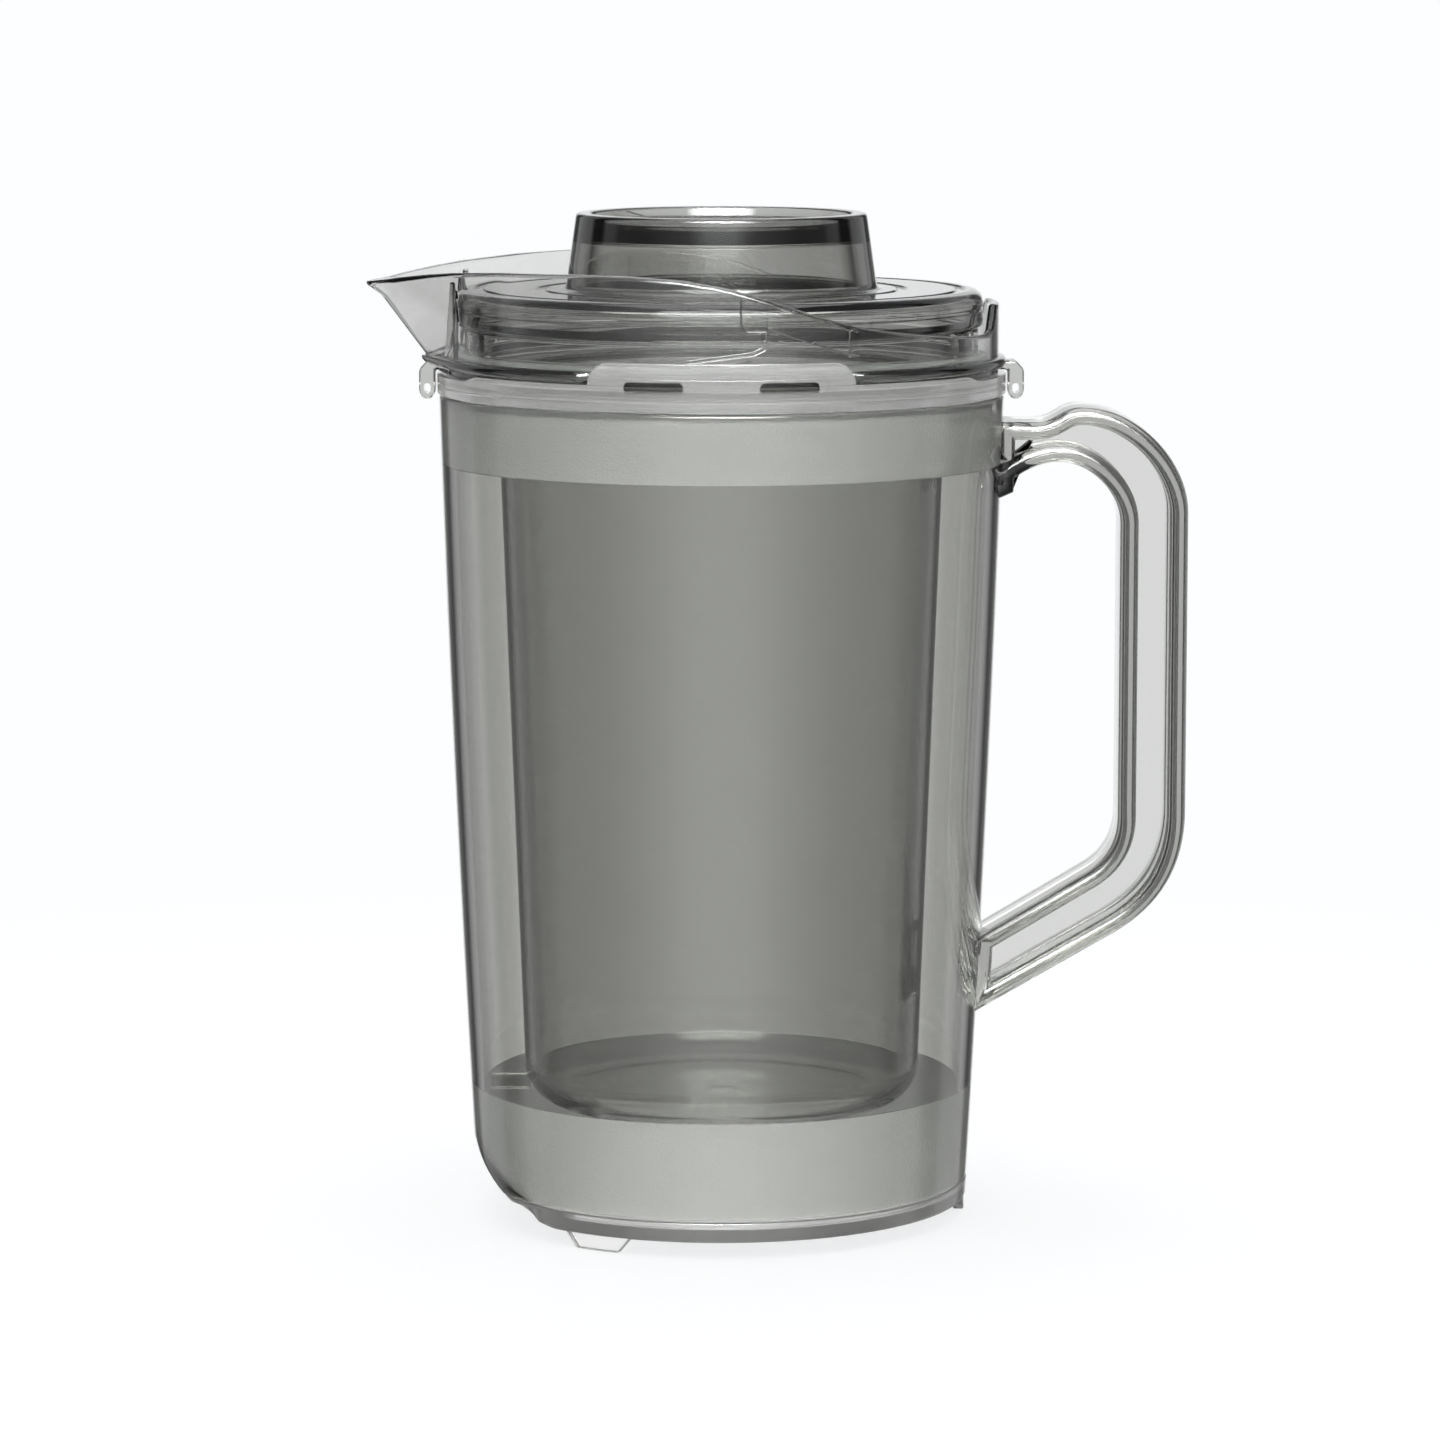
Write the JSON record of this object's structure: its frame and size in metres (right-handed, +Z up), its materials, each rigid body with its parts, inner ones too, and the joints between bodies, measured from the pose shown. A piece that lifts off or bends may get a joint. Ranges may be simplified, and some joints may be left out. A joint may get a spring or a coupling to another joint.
{
  "type": "insulated jug",
  "caption": "Clear smoky double-walled jug with an I-section handle, a clip-on pouring collar with a pointed spout, and a turning lid with a hollow knob that lifts off.",
  "frame": {"origin": "on the jug's axis, on the flat underside of the base cover; the three feet reach below it", "axes": "+Z up along the jug's axis, +X towards the handle, -X towards the spout, -Y towards the viewer of the picture"},
  "size_m": [0.1914, 0.1348, 0.2371],
  "materials": {
    "outer_shell": "clear smoky grey, frosted band at the top and bottom",
    "base_plastic": "clear smoky grey",
    "vessel_plastic": "clear smoky grey",
    "rim_plastic": "clear smoky grey",
    "collar_plastic": "clear smoky grey",
    "seal_rubber": "soft translucent silicone",
    "lid_plastic": "clear smoky grey",
    "plug_plastic": "clear smoky grey",
    "lid_seal_rubber": "soft translucent silicone"
  },
  "bodies": {
    "jug": {"outer_body": "outer_shell", "base_cover": "base_plastic", "inner_vessel": "vessel_plastic", "rim_ring": "rim_plastic"},
    "collar": {"pour_collar": "collar_plastic", "collar_seal": "seal_rubber"},
    "lid_ring": {"lid_seal": "lid_seal_rubber"},
    "lid": {"lid_cover": "lid_plastic", "lid_plug": "plug_plastic"}
  },
  "joints": [
    {"name": "collar_lift", "type": "slide", "parent": "jug", "child": "collar", "axis": [0, 0, 1], "range_m": [0, 0.04]},
    {"name": "lid_lift", "type": "slide", "parent": "collar", "child": "lid_ring", "axis": [0, 0, 1], "range_m": [0, 0.04]},
    {"name": "lid_turn", "type": "hinge", "parent": "lid_ring", "child": "lid", "pos_m": [0, 0, 0.2], "axis": [0, 0, 1], "continuous": true}
  ]
}
